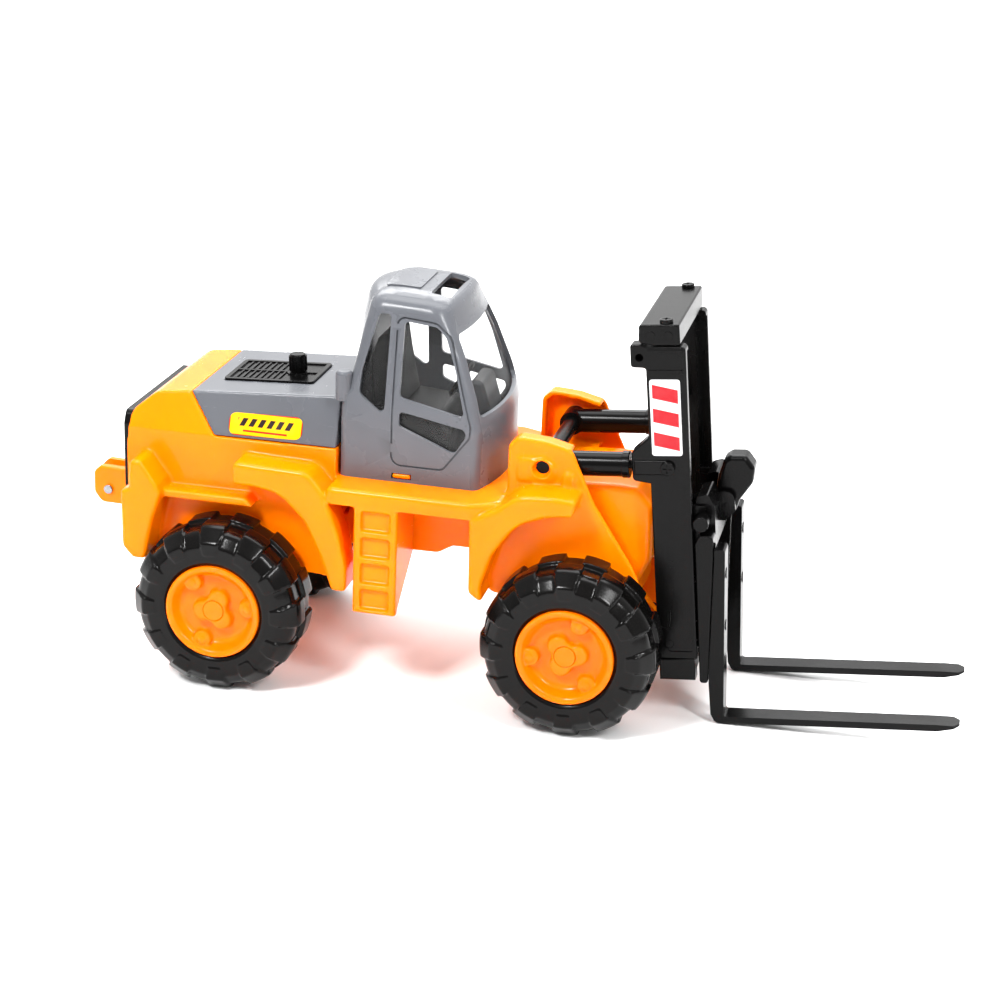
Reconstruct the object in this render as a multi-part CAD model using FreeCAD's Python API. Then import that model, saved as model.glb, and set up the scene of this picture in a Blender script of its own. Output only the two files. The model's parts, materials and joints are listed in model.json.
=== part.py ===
"""Toy forklift: moulded body, cab, four lugged wheels, tilting mast and sliding fork carriage.

Millimetres. +X points forward (fork tips), +Y is the driver's left, +Z is up.
The origin is on the ground, under the middle of the overall length and width.
"""
import FreeCAD, Part
import math
import os

# ---------------------------------------------------------------- driving dimensions
HALF_LENGTH = 301.5      # hitch to fork tips is twice this
TYRE_R = 57.5
TYRE_Y = (61.5, 106.0)   # inner and outer faces of a tyre
REAR_X = -181.2          # axle positions
FRONT_X = 53.2
RIM_R = 31.8
AXLE_R = 3.0
WALL = 2.6               # moulded wall thickness
GAP = 0.3                # assembly clearance

SIDE_Y = 60.0            # body side, below the hood
FLARE_Y = 83.0           # outer face of sills and fenders
EAR_Y = 58.0             # outer face of the ears and of the cab's foot
DECK_Z = 145.0           # top of the sill deck, where the cab stands

TILT = 6.0               # mast leans back at rest, degrees
PIVOT = (112.0, 52.0)    # mast tilt pivot, X and Z
MAST_Y = 50.0            # outer face of the mast's side frames
POST_U = (-7.5, 18.0)    # side frame, rear and front faces in mast axes
POST_W = (-10.0, 200.0)
ROD_PIN = (4.0, 121.0)   # tilt rod pin in mast axes
ARM_PIVOT = (24.0, 165.5)
ARM_Y = 45.0             # centre plane of a tilt arm
ARM_R = 8.0
ROD_R = 2.6
BARREL = 55.0            # tilt-arm barrel, from its pivot to the end of its collar

FORK_Y = (35.0, 50.0)
FORK_T = 4.6
HEEL = (27.4, -54.6)     # fork heel, outer corner, in mast axes
FORK_SCREW_W = (12, 48)  # screw heights on a fork shank, in mast axes

HOOD_Z = 195.3           # top of the hood where it meets the cab
HOOD_FALL = 0.06         # how steeply the hood's top falls towards the rear
GRILLE_X = (-202.0, -140.0)
GRILLE_Y = 22.8
KNOB_X = -157.0
KNOB_R = 5.5
TUB_HALF = 36.0          # half width of the chassis tub
SCREW_SPOTS = ((-120, 88.1), (-62, 89.6))    # frame screws, X and the underside's Z there

CAB_FRONT = -18.5        # front corner of the cab at its foot
CAB_REAR = -110.5        # rear wall of the cab at its foot
SCREEN_FOOT = 190.0
# the cab upwards: height, half width, lean and bow of its front, lean and bow of its rear wall, corner radius
RINGS = ((DECK_Z - 5, EAR_Y, 0, 10.0, 0, 0.3, 5), (184, EAR_Y, 0, 9.5, 0, 0.3, 5),
         (194, 57, 2.7, 9.2, 0, 0.3, 5), (199, 56.2, 4.0, 9.0, 0, 0.3, 5),
         (204, 55.3, 5.5, 8.5, 4.0, 2.0, 5), (229, 50.6, 14.5, 7.0, 8.5, 6.0, 6),
         (246, 47.4, 22.0, 5.0, 11.5, 9.0, 7))
# its rounded roof: height, half width, how far its front and rear stand in, corner radius
ROOF_BOW = 5.0
ROOF_REAR_BOW = 9.0
ROOF_CORNER = 11.0
ROOF = ((256, 45.5, 25.5, 13.0), (259, 44.2, 26.4, 13.9), (261.5, 41.7, 27.9, 15.4), (263.5, 37.7, 30.5, 18.0),
        (265, 32.0, 34.5, 22.0), (265.8, 24.5, 39.5, 27.0))
ROOF_FALL = 3.0          # the roof falls towards the front, degrees

LUGS = 12
WHEELS = {"front_right": (FRONT_X, -1), "front_left": (FRONT_X, 1),
          "rear_right": (REAR_X, -1), "rear_left": (REAR_X, 1)}

os.makedirs("parts", exist_ok=True)
V = FreeCAD.Vector


# ---------------------------------------------------------------- helpers
def corner_arc(before, corner, after, r):
    """The arc that rounds a corner: its start, middle and end as 2-D points."""
    d1 = (before[0] - corner[0], before[1] - corner[1])
    d2 = (after[0] - corner[0], after[1] - corner[1])
    l1, l2 = math.hypot(*d1), math.hypot(*d2)
    u1 = (d1[0] / l1, d1[1] / l1)
    u2 = (d2[0] / l2, d2[1] / l2)
    half = math.acos(max(-1.0, min(1.0, u1[0] * u2[0] + u1[1] * u2[1]))) / 2
    reach = min(r / math.tan(half), 0.48 * l1, 0.48 * l2)
    r = reach * math.tan(half)
    bis = (u1[0] + u2[0], u1[1] + u2[1])
    size = math.hypot(*bis)
    depth = r / math.sin(half) - r
    middle = (corner[0] + bis[0] / size * depth, corner[1] + bis[1] / size * depth)
    start = (corner[0] + u1[0] * reach, corner[1] + u1[1] * reach)
    end = (corner[0] + u2[0] * reach, corner[1] + u2[1] * reach)
    return start, middle, end


def outline(points, place):
    """A closed wire through 2-D points (a, b) or (a, b, corner radius); place maps 2-D to 3-D."""
    edges = []
    n = len(points)
    stops = []
    for i, p in enumerate(points):
        if len(p) > 2 and p[2] > 0:
            stops.append(corner_arc(points[i - 1], p, points[(i + 1) % n], p[2]))
        else:
            stops.append((p[:2],))
    for i, stop in enumerate(stops):
        if len(stop) == 3:
            edges.append(Part.Arc(*[place(*q) for q in stop]).toShape())
        a, b = place(*stop[-1]), place(*stops[(i + 1) % n][0])
        if a.distanceToPoint(b) > 1e-6:
            edges.append(Part.LineSegment(a, b).toShape())
    return Part.Wire(edges)


def prism_y(points, y0, y1, inset=0.0):
    wire = outline(points, lambda a, b: V(a, y0, b))
    if inset:
        wire = wire.makeOffset2D(-inset)
    return Part.Face(wire).extrude(V(0, y1 - y0, 0))


def prism_x(points, x0, x1, inset=0.0):
    wire = outline(points, lambda a, b: V(x0, a, b))
    if inset:
        wire = wire.makeOffset2D(-inset)
    return Part.Face(wire).extrude(V(x1 - x0, 0, 0))


def prism_z(points, z0, z1, inset=0.0, shift=0.0):
    """Extruded along Z; shift leans the prism by that much along X over its height."""
    wire = outline(points, lambda a, b: V(a, b, z0))
    if inset:
        wire = wire.makeOffset2D(-inset)
    return Part.Face(wire).extrude(V(shift, 0, z1 - z0))


def box(x0, x1, y0, y1, z0, z1):
    return Part.makeBox(x1 - x0, y1 - y0, z1 - z0, V(x0, y0, z0))


def rod_y(x, z, r, y0, y1):
    return Part.makeCylinder(r, y1 - y0, V(x, y0, z), V(0, 1, 0))


def rod_z(x, y, r, z0, z1):
    return Part.makeCylinder(r, z1 - z0, V(x, y, z0), V(0, 0, 1))


def flip(shape):
    """The same piece on the other side of the middle plane."""
    return shape.mirror(V(0, 0, 0), V(0, 1, 0))


def pair(shape):
    return [shape, flip(shape)]


def fuse(shapes):
    shapes = list(shapes)
    return shapes[0].multiFuse(shapes[1:]).removeSplitter() if len(shapes) > 1 else shapes[0]


def cut(shape, tools):
    return shape.cut(list(tools))


def soften(shape, r, wanted):
    """Round the edges that wanted() picks; an edge set that the kernel refuses stays sharp."""
    edges = [e for e in shape.Edges if wanted(e)]
    try:
        rounded = shape.makeFillet(r, edges)
        return rounded if rounded.isValid() else shape
    except (Part.OCCError, ValueError):
        return shape


def on_plane_y(y):
    """Picks the edges that lie wholly in the plane at that y."""
    return lambda e: abs(e.BoundBox.YMin - y) < 1e-4 and abs(e.BoundBox.YMax - y) < 1e-4


def leaned(shape):
    """From upright mast axes (origin on the tilt pivot) to the leaning rest position."""
    s = shape.copy()
    s.translate(V(PIVOT[0], 0, PIVOT[1]))
    s.rotate(V(PIVOT[0], 0, PIVOT[1]), V(0, 1, 0), -TILT)
    return s


def mast_point(u, w):
    a = math.radians(TILT)
    return (PIVOT[0] + u * math.cos(a) - w * math.sin(a), PIVOT[1] + u * math.sin(a) + w * math.cos(a))


def save(name, shape):
    solids = shape.Solids
    good = shape.isValid() and solids and all(s.Volume > 0 for s in solids)
    b = shape.BoundBox
    print(f"{name:26s} solids {len(solids)} vol {shape.Volume / 1000:8.2f} "
          f"X {b.XMin:7.1f} {b.XMax:7.1f} Y {b.YMin:7.1f} {b.YMax:7.1f} Z {b.ZMin:6.1f} {b.ZMax:6.1f}"
          f"{'' if good else '  BAD'}")
    out = solids[0] if len(solids) == 1 else Part.makeCompound(solids)
    out.exportStep(f"parts/{name}.step")


# ---------------------------------------------------------------- body
def crowned_section(z_low):
    """Cross-section of hood and counterweight: upright low down, sides leaning in above the seam."""
    return [(-SIDE_Y, z_low), (-SIDE_Y, 163), (-46.7, 197.5, 1), (46.7, 197.5, 1), (SIDE_Y, 163),
            (SIDE_Y, z_low)]


def counterweight(inset):
    """The rear of the body, up to the hood's seam and rounded behind it."""
    low = 112 + inset
    side = [(-112, low), (-112, 163.2), (-195.5, 162.7), (-223, 200), (-262, 200), (-262, low)]
    # the hood slopes down to the rear, and the counterweight follows it
    lid = [(-112, low), (-112, HOOD_Z), (-216, HOOD_Z - 104 * HOOD_FALL, 10), (-238, 186.5, 14), (-254, 173, 12),
           (-256.5, 150, 6), (-256.5, low)]
    return prism_y(side, -70, 70, inset).common(prism_y(lid, -70, 70, inset)).common(
        prism_x(crowned_section(low), -270, -100, inset))


def rear_flare():
    """One rear quarter: tail block, ledge over the wheel, front fender leg. Right side."""
    y_out, y_in = -FLARE_Y, -SIDE_Y + 1
    tail = [(-236, 79, 3), (-245, 79, 3), (-252, 87, 4), (-252.5, 126, 2), (-247, 128, 2), (-246, 148, 4),
            (-238.5, 148, 4), (-227, 132, 3), (-225, 126, 3), (-231, 106, 14)]
    leg = [(-175, 139, 2), (-175, 154.5, 3), (-124, 153, 12), (-113, 140, 20), (-103, 112, 20), (-98, 90, 10),
           (-98, 73.5, 2), (-107.5, 73.5, 2), (-115, 95, 20), (-126, 119, 25), (-143, 136, 25), (-160, 139, 10)]
    ledge = [(-230, 121.5), (-228, 126.5, 1), (-169, 127, 1), (-165, 122)]
    tail = soften(prism_y(tail, y_out, y_in), 2.2, on_plane_y(y_out))
    leg = soften(prism_y(leg, y_out, y_in), 2.5, on_plane_y(y_out))
    return fuse([tail, leg, prism_y(ledge, y_out + 9, y_in)])


def well_wall(points, y=-SIDE_Y):
    return prism_y(points, y, y + WALL)


def front_ear():
    """Front fender on the right side: ear with the tilt-arm socket, arch band and wheel-well wall."""
    ear = [(-5, 76, 3), (-16, 84, 3), (-17, 133, 3), (-2, 140), (2, 150), (1.5, 179, 5), (8, 184.8, 4), (26, 183.6, 8),
           (43, 179.5, 8), (58.5, 146, 20), (86, 105, 4), (92, 92, 4), (80, 72, 4)]
    skin = soften(prism_y(ear, -EAR_Y, -EAR_Y + 3), 1.2, on_plane_y(-EAR_Y))
    rim_line = [(1.5, 146), (1.5, 179, 5), (8, 184.8, 4), (26, 183.6, 8), (43, 179.5, 8), (41.5, 176.5, 6),
                (26, 180.6, 6), (9, 181.6, 3), (4.6, 177.5, 3), (4.6, 146)]
    rim = prism_y(rim_line, -EAR_Y + 1, -EAR_Y + 13)
    band = [(-5, 76, 3), (-16, 84, 3), (-17, 134, 3), (-12, 137, 2), (0, 143, 16), (14, 154, 18), (37, 155.5, 10),
            (51.5, 154, 2), (49.5, 143.5, 2), (34, 141.5, 20), (14, 134, 25), (-1, 112, 30), (-8, 88, 8)]
    band = soften(prism_y(band, -FLARE_Y, -EAR_Y + 1), 2.5, on_plane_y(-FLARE_Y))
    pad = soften(prism_y([(8.5, 156, 3), (8.5, 171.5, 3), (33, 171.5, 7), (33, 156, 7)], -EAR_Y - 1.5, -EAR_Y + 1),
                 0.8, on_plane_y(-EAR_Y - 1.5))
    bump = soften(prism_y([(38, 150, 3), (38, 165, 3), (45.5, 165, 3), (45.5, 150, 3)], -EAR_Y - 2.5, -EAR_Y + 1),
                  1.2, on_plane_y(-EAR_Y - 2.5))
    px, pz = ARM_PIVOT
    socket = rod_y(px, pz, 7.0, -EAR_Y - 2.2, -EAR_Y + 4.5)
    solid = fuse([skin, rim, band, pad, bump, socket])
    recess = rod_y(px, pz, 5.6, -EAR_Y - 3, -EAR_Y + 1.5)
    journal = rod_y(px, pz, 4.4, -EAR_Y - 3, -EAR_Y + 5)
    return cut(solid, [recess, journal])


def ladder():
    """Access ladder under the sill, right side: five rungs and a side plate that runs inboard."""
    x0, x1, z0 = -93, -64, 60.5
    face = soften(box(x0, x1, -FLARE_Y, -FLARE_Y + 6, z0, 136), 1.5, on_plane_y(-FLARE_Y))
    pitch = (133 - z0) / 4
    holes = [box(x0 + 5, x1 - 4.5, -FLARE_Y - 1, -FLARE_Y + 3.5, z0 + 3 + i * pitch, z0 + i * pitch + pitch - 1.5)
             for i in range(4)]
    face = cut(face, holes)
    plate = [(-FLARE_Y + 4, z0), (-FLARE_Y + 4, 136), (-38.4, 136), (-38.4, 91, 3)]
    front = prism_x(plate, x1 - 3, x1)
    rear = prism_x(plate, x0, x0 + 3)
    return fuse([face, front, rear])


def deck():
    """The sill deck that carries the cab, with its rim turned down."""
    plan = [(-112, -FLARE_Y, 4), (-16, -FLARE_Y, 6), (2, -FLARE_Y + 8, 8), (2, FLARE_Y - 8, 8), (-16, FLARE_Y, 6),
            (-112, FLARE_Y, 4)]
    slab = soften(prism_z(plan, 134, DECK_Z), 3.0,
                  lambda e: abs(e.BoundBox.ZMin - DECK_Z) < 1e-4 and abs(e.BoundBox.YMax) > FLARE_Y - 9)
    return cut(slab, [prism_z(plan, 130, DECK_Z - WALL, 3.0)])


def nose():
    """Sloping front panel between the ears, behind the mast."""
    side = [(-2, 137), (-2, 145), (10, 150, 6), (70, 153, 8), (84, 152, 4), (94, 141, 4), (95, 104, 4), (86, 84, 4),
            (70, 84)]
    outer = prism_y(side, -39, 39)
    outer = soften(outer, 4.0, lambda e: e.BoundBox.YLength < 1e-4 and e.BoundBox.XMin > 60 and e.BoundBox.ZMin > 100)
    inner = prism_y(side, -39 + WALL, 39 - WALL, WALL)
    shell = cut(outer, [inner, box(-5, 69, -TUB_HALF - GAP, TUB_HALF + GAP, 80, 146)])
    shelf = fuse(pair(box(4, 42, -EAR_Y + 2, -38, 146.5, 149)))
    return fuse([shell, shelf])


def latch_tab():
    """Snap tab of the body that shows through the slot at the foot of the cab wall."""
    stem = box(-74.6, -62.4, -EAR_Y + WALL + GAP, -EAR_Y + 5.5, DECK_Z - 1, 150.6)
    return stem.fuse(box(-74.6, -62.4, -EAR_Y - 0.2, -EAR_Y + 5.5, 147.5, 150.6))


def body_shell():
    solid = counterweight(0)
    solid = cut(solid, [counterweight(WALL), box(-253, -115, -57, 57, 100, 116)])
    wall = well_wall([(-245, 79, 3), (-252, 90, 3), (-252, 128), (-112, 128), (-112, 90), (-108, 73.5, 3)])
    pieces = [solid, deck(), nose()]
    for part in [wall, rear_flare(), front_ear(), ladder(), latch_tab()]:
        pieces += pair(part)
    joined = fuse(pieces)
    axle_room = [rod_y(x, TYRE_R, 12, -70, 70) for x in (REAR_X, FRONT_X)]
    return cut(joined, axle_room)


def chassis_frame():
    """Central tub under the body that carries both axles."""
    side = [(-222, 111, 4), (-222, 80, 10), (-200, 48, 10), (-164, 48, 10), (-140, 88, 20), (-48, 90, 8), (-38, 96, 4),
            (-16, 96, 4), (10, 70, 10), (26, 48, 10), (78, 48, 10), (86, 70, 6), (86, 83), (68, 83), (68, 120),
            (-20, 133), (-104, 133), (-110, 111)]
    outer = prism_y(side, -TUB_HALF, TUB_HALF)
    inner = prism_y(side, -TUB_HALF + WALL, TUB_HALF - WALL, WALL)
    outer = soften(outer, 2.0, lambda e: e.BoundBox.YLength < 1e-4 and e.BoundBox.ZMax < 100)
    tub = cut(outer, [inner, box(-200, 60, -33, 33, 105, 140)])
    bosses = []
    for x in (REAR_X, FRONT_X):
        bosses += pair(Part.makeCone(12, 9, 26.6, V(x, TUB_HALF - 1, TYRE_R), V(0, 1, 0)))
    tub = fuse([tub] + bosses)
    bores = [rod_y(x, TYRE_R, AXLE_R + 0.05, -70, 70) for x in (REAR_X, FRONT_X)]
    screws = [rod_z(x, y, 1.6, 80, 100) for x, _ in SCREW_SPOTS for y in (-22, 22)]
    return cut(fuse([tub, mast_hinge_lugs()]), bores + screws + [rod_y(*PIVOT, 3.05, -60, 60)])


def mast_hinge_lugs():
    """Two forward lugs that hold the mast's tilt pin."""
    side = [(80, 50, 3), (80, 82), (86, 82), (106, 60, 6), (118, 60, 8), (118, 44, 8), (104, 44, 6)]
    return fuse(pair(prism_y(side, -34, -27)))


# ---------------------------------------------------------------- hitch, hood
def rear_hitch():
    side = [(-256.2, 86.5, 2), (-296, 87, 6), (-HALF_LENGTH, 94, 6), (-HALF_LENGTH, 109, 5), (-297, 113.5, 4),
            (-256.2, 112.5, 2)]
    block = soften(prism_y(side, -11, 11), 1.5, lambda e: e.BoundBox.YLength < 1e-4)
    slot = prism_z([(-310, -5.5), (-310, 5.5), (-272, 5.5, 5), (-272, -5.5, 5)], 80, 120)
    bore = rod_y(-290.5, 97.5, 2.3, -20, 20)
    flange = box(-256.3, -253.5, -9, 9, 88, 111)
    return cut(block, [slot, bore]).fuse(flange).removeSplitter()


def hitch_pin():
    shaft = rod_y(-290.5, 97.5, 2.2, -11.6, 11.6)
    head = rod_y(-290.5, 97.5, 3.2, -13.0, -11.6)
    return soften(fuse([shaft, head]), 0.5, lambda e: e.BoundBox.YMax < -12.9 or e.BoundBox.YMin > 11.5)


def rear_grille():
    """Slatted panel on the back of the counterweight."""
    panel = prism_x([(-57.8, 118, 4), (57.8, 118, 4), (58.2, 164, 3), (54.5, 172.5, 5), (-54.5, 172.5, 5),
                     (-58.2, 164, 3)], -258.8, -252)
    slots = [box(-260, -257.9, -40, 40, z, z + 4) for z in range(126, 166, 8)]
    return cut(panel, slots + [counterweight(0)])


def hood_volume(inset):
    side = [(-112.5, 163.8), (-112.5, HOOD_Z), (-214.5, HOOD_Z - 102 * HOOD_FALL), (-195.3, 163.2)]
    return prism_y(side, -70, 70, inset).common(prism_x(crowned_section(150), -270, -100, inset))


def hood_tilt(shape):
    """The hood's top falls towards the rear; pieces on it are made level and tilted about its front."""
    s = shape.copy()
    s.translate(V(0, 0, HOOD_Z - 197.2))
    s.rotate(V(-112.5, 0, HOOD_Z), V(0, 1, 0), -math.degrees(math.atan(HOOD_FALL)))
    return s


def engine_hood():
    outer = hood_volume(0)
    inner = hood_volume(WALL).cut(box(-300, 0, -80, 80, 0, 164))
    skirt = box(-207, -115.1, -SIDE_Y + WALL, SIDE_Y - WALL, 150, 170).common(hood_volume(WALL - 0.01))
    shell = cut(outer, [inner, skirt])
    seat = hood_tilt(box(GRILLE_X[0] - 0.2, GRILLE_X[1] + 0.2, -GRILLE_Y - 0.2, GRILLE_Y + 0.2, 195.6, 205))
    return cut(shell, [seat])


def hood_grille():
    x0, x1 = GRILLE_X
    plate = [(x0, -GRILLE_Y, 3), (x1, -GRILLE_Y, 3), (x1, GRILLE_Y, 3), (x0, GRILLE_Y, 3)]
    panel = prism_z(plate, 195.8, 198.4)
    well = prism_z(plate, 197.4, 201, 3.0)
    louvres = []
    pitch = 4.2
    for i in range(8):
        x = x0 + 5 + i * pitch
        for y0, y1 in ((-18.5, -1), (1, 18.5)):
            louvres.append(prism_y([(x, 196.6), (x + 1.2, 196.6), (x + 2.6, 198.2), (x + 1.4, 198.2)], y0, y1))
    rib = box(x0 + 2, x1 - 2, -1, 1, 196.6, 198.3)
    seat = rod_z(KNOB_X, 0, 7.5, 196, 198.4)
    return hood_tilt(fuse([cut(panel, [well]), rib, seat] + louvres))


def hood_knob():
    """Ribbed stub on the grille panel."""
    body = rod_z(KNOB_X, 0, KNOB_R, 198.4, 211)
    ribs = [rod_z(KNOB_X + KNOB_R * math.cos(a), KNOB_R * math.sin(a), 0.7, 199.4, 209.5)
            for a in [math.radians(30 * i) for i in range(12)]]
    body = soften(body, 1.2, lambda e: e.BoundBox.ZMin > 210.9)
    return hood_tilt(fuse([body] + ribs))


def hood_label():
    """Rounded sticker on the hood's sloping side, right side."""
    run, rise = SIDE_Y - 46.7, 197.5 - 163
    half_long, half_high, x, z = 25.0, 7.4, -161.0, 172.5
    corners = [(-half_long, -half_high, 5), (-half_long, half_high, 5), (half_long, half_high, 5),
               (half_long, -half_high, 5)]
    plate = prism_y(corners, -0.35, 0)
    plate.rotate(V(0, 0, 0), V(0, 1, 0), -1.5)
    plate.rotate(V(0, 0, 0), V(1, 0, 0), -math.degrees(math.atan2(run, rise)))
    plate.translate(V(x, -SIDE_Y + (z - 163) * run / rise - 0.05, z))
    return plate


# ---------------------------------------------------------------- cab
def cab_plan(half, front, bow, rear, rear_bow, r):
    """Plan outline with a bowed front and rear and rounded corners, as a wire at z = 0."""
    x_c = front + bow * (1 - ((half - r) / half) ** 2)
    corner = (front - r + 0.707 * (x_c - front + r), half - 0.293 * r)

    def side(s):
        return [Part.Arc(V(rear, s * (half - r), 0), V(rear + r * 0.293, s * (half - r * 0.293), 0),
                         V(rear + r, s * half, 0)).toShape(),
                Part.LineSegment(V(rear + r, s * half, 0), V(front - r, s * half, 0)).toShape(),
                Part.Arc(V(front - r, s * half, 0), V(corner[0], s * corner[1], 0),
                         V(x_c, s * (half - r), 0)).toShape()]

    nose_arc = Part.Arc(V(x_c, r - half, 0), V(front + bow, 0, 0), V(x_c, half - r, 0)).toShape()
    back = Part.Arc(V(rear, r - half, 0), V(rear - rear_bow, 0, 0), V(rear, half - r, 0)).toShape()
    return Part.Wire(Part.__sortEdges__(side(-1) + [nose_arc] + side(1) + [back]))


def cab_volume(inset):
    """The cab as a solid, shrunk by inset on every face."""
    rows = list(RINGS)
    for z, half, lean, rear_lean in ROOF:
        rows.append((z, half, lean, ROOF_BOW, rear_lean, ROOF_REAR_BOW, ROOF_CORNER))
    rings = []
    for z, half, lean, bow, rear_lean, rear_bow, r in rows:
        roof_share = min(1.0, max(0.0, (z - 250) / 6))
        ring = cab_plan(half - inset, CAB_FRONT - lean - inset, bow, CAB_REAR + rear_lean + inset, rear_bow, r)
        ring.translate(V(0, 0, z - inset * roof_share))
        ring.rotate(V(-74, 0, z), V(0, 1, 0), ROOF_FALL * roof_share)
        rings.append(ring)
    return Part.makeLoft(rings, True, True)


def side_windows():
    """Cutters for the three openings in each cab side."""
    quarter = [(-81, 188.5, 3), (-98.5, 201.5, 5), (-97.5, 216, 6), (-92, 239, 12), (-88.5, 253.5, 3),
               (-80.5, 253.5, 2.5)]
    upper = [(-71.5, 201.5, 3), (-71.5, 250, 3), (-50, 248, 6), (-43.5, 242, 8), (-36, 222, 20), (-28, 192.5, 2.5)]
    lower = [(-71, 193, 2.5), (-71, 183, 3), (-34, 168, 4), (-26.5, 180.5, 4), (-27, 185, 3)]
    return [prism_y(p, -70, 70) for p in (quarter, upper, lower)]


def door_groove():
    """The line of the moulded-in door, 1 deep on the outer face of both sides."""
    door = [(-76, 156, 7), (-76.5, 253, 5), (-50, 250.8, 8), (-40, 242.5, 12), (-33, 220, 20), (-23, 187, 6),
            (-23.4, 180, 5), (-41, 156, 6)]
    ring = prism_y(door, -70, 70).cut(prism_y(door, -71, 71, 1.2))
    gap = box(-78, -74, -71, 71, 165, 171).fuse(box(-78, -74, -71, 71, 244, 248))
    return ring.cut(gap)


def cab_shell():
    outer = cab_volume(0)
    shell = cut(outer, [cab_volume(WALL)])
    shell = shell.common(box(-150, 50, -70, 70, DECK_Z + 0.05, 280))
    screen = prism_x([(-51.5, SCREEN_FOOT + 2, 4), (51.5, SCREEN_FOOT + 2, 4), (41.5, 243, 5), (-41.5, 243, 5)],
                     -50, 20)
    skylight = prism_z([(-60, -27, 2), (-47, -27, 3), (-47, 27, 3), (-60, 27, 2)], 245, 270)
    slot = box(-75.2, -61.8, -70, 70, 147.1, 151)
    groove = door_groove().cut(cab_volume(1.0))
    shell = cut(shell, side_windows() + [screen, skylight, slot, groove])
    hatch = prism_z([(-91, -22.5, 2), (-68, -22.5, 2), (-68, 22.5, 2), (-91, 22.5, 2)], 255, 270).common(
        cab_lifted(0.9)).cut(cab_volume(0.5))
    hinge = soften(rod_z(-109.5, -52, 5.5, HOOD_Z + 0.3, 215), 2.5, lambda e: e.BoundBox.ZMin > 214.9)
    hinges = [h.cut(cab_volume(WALL)) for h in pair(hinge)]
    return fuse([shell, hatch] + hinges)


def cab_lifted(h):
    s = cab_volume(0)
    s.translate(V(0, 0, h))
    return s


def cab_glazing():
    """Clear liner moulded in one piece behind every window."""
    liner = cab_volume(WALL + 0.15).cut(cab_volume(WALL + 1.35))
    return liner.common(box(-98, 20, -70, 70, 166, 257))


def seat():
    cushion = [(-96, 150, 2), (-98, 186, 6), (-52, 182, 8), (-44, 172, 5), (-46, 150, 2)]
    back = [(-98, 178), (-101, 215, 6), (-95, 232, 5), (-87, 232, 5), (-84, 214, 10), (-78, 186)]
    base = soften(prism_y(cushion, -30, 30), 3, lambda e: e.BoundBox.YLength < 1e-4 and e.BoundBox.ZMin > 151)
    rest = soften(prism_y(back, -24, 24), 3, lambda e: e.BoundBox.YLength < 1e-4 and e.BoundBox.ZMin > 190)
    floor = prism_z([(-105, -52, 4), (-24, -52, 4), (-13, 0), (-24, 52, 4), (-105, 52, 4)], DECK_Z + 0.05, 148)
    plinth = box(-90, -50, -24, 24, 147, 152)
    hollow = prism_y([(-92, 154), (-94, 182), (-55, 178), (-49, 170), (-50, 154)], -26.5, 26.5)
    return cut(fuse([base, rest, floor, plinth]), [hollow])


def steering_console():
    side = [(-34, 148.05), (-34, 168, 3), (-38, 196, 3), (-34, 206, 4), (-26, 205, 4), (-16, 172, 6), (-16, 148.05)]
    return soften(prism_y(side, -17, 17), 3, lambda e: e.BoundBox.YLength < 1e-4 and e.BoundBox.ZMin > 150)


def steering_wheel():
    rim = Part.makeTorus(12, 1.6)
    hub = Part.makeCylinder(3.4, 4.2, V(0, 0, -2.1))
    spokes = [Part.makeBox(11.5, 2.2, 1.6, V(0, -1.1, -0.8)) for _ in range(3)]
    for i, s in enumerate(spokes):
        s.rotate(V(0, 0, 0), V(0, 0, 1), 90 + 120 * i)
    column = Part.makeCylinder(2.2, 12, V(0, 0, -12))
    wheel = fuse([rim, hub, column] + spokes)
    wheel.rotate(V(0, 0, 0), V(0, 1, 0), -58)
    wheel.translate(V(-44.2, 0, 201))
    return wheel.cut(steering_console())


# ---------------------------------------------------------------- wheels
def tyre_profile(r_tread, r_shoulder):
    """Half section of the tyre from bead to tread, in wheel axes: (axial, radius)."""
    w = (TYRE_Y[1] - TYRE_Y[0]) / 2
    return [(-w + 3, RIM_R), (-w, RIM_R + 3, 1), (-w, r_shoulder, 3), (-w + 10, r_tread, 8),
            (w - 5, r_tread, 5), (w, r_shoulder, 3), (w, RIM_R + 3, 1), (w - 3, RIM_R)]


def revolve_y(points):
    face = Part.Face(outline(points, lambda a, b: V(0, a, b)))
    return face.revolve(V(0, 0, 0), V(0, 1, 0), 360)


def lug_cutter(y0, y1, phase, wide):
    """A ring of wedges between two axial planes, one per lug."""
    half = math.radians(wide / 2)
    reach = TYRE_R + 8
    wedges = []
    for i in range(LUGS):
        a = math.radians(phase + 360 / LUGS * i)
        pts = [(40 * math.cos(a - 0.6 * half), 40 * math.sin(a - 0.6 * half)),
               (reach * math.cos(a - half), reach * math.sin(a - half)),
               (reach * math.cos(a + half), reach * math.sin(a + half)),
               (40 * math.cos(a + 0.6 * half), 40 * math.sin(a + 0.6 * half))]
        wedges.append(prism_y(pts, y0, y1))
    return wedges


def tyre():
    """Carcass with two staggered rows of lugs, in wheel axes."""
    w = (TYRE_Y[1] - TYRE_Y[0]) / 2
    carcass = revolve_y([(-w + 3, RIM_R), (-w + 0.8, RIM_R + 3, 1), (-w + 0.8, 45, 4), (-w + 7.5, 54.6, 9),
                         (w - 4, 54.6, 6), (w - 0.8, 45, 4), (w - 0.8, RIM_R + 3, 1), (w - 3, RIM_R)])
    envelope = revolve_y(tyre_profile(TYRE_R, 48))
    rows = lug_cutter(-w - 1, -1.0, 2, 19) + lug_cutter(1.0, w + 1, 17, 19)
    lugs = envelope.common(Part.makeCompound(rows))
    air = revolve_y([(-w + 4, RIM_R + 3.5, 2), (-w + 4, 43, 4), (-w + 9, 51, 6), (w - 7, 51, 6), (w - 4, 43, 4),
                     (w - 4, RIM_R + 3.5, 2)])
    return cut(fuse([carcass] + lugs.Solids), [air])


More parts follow.
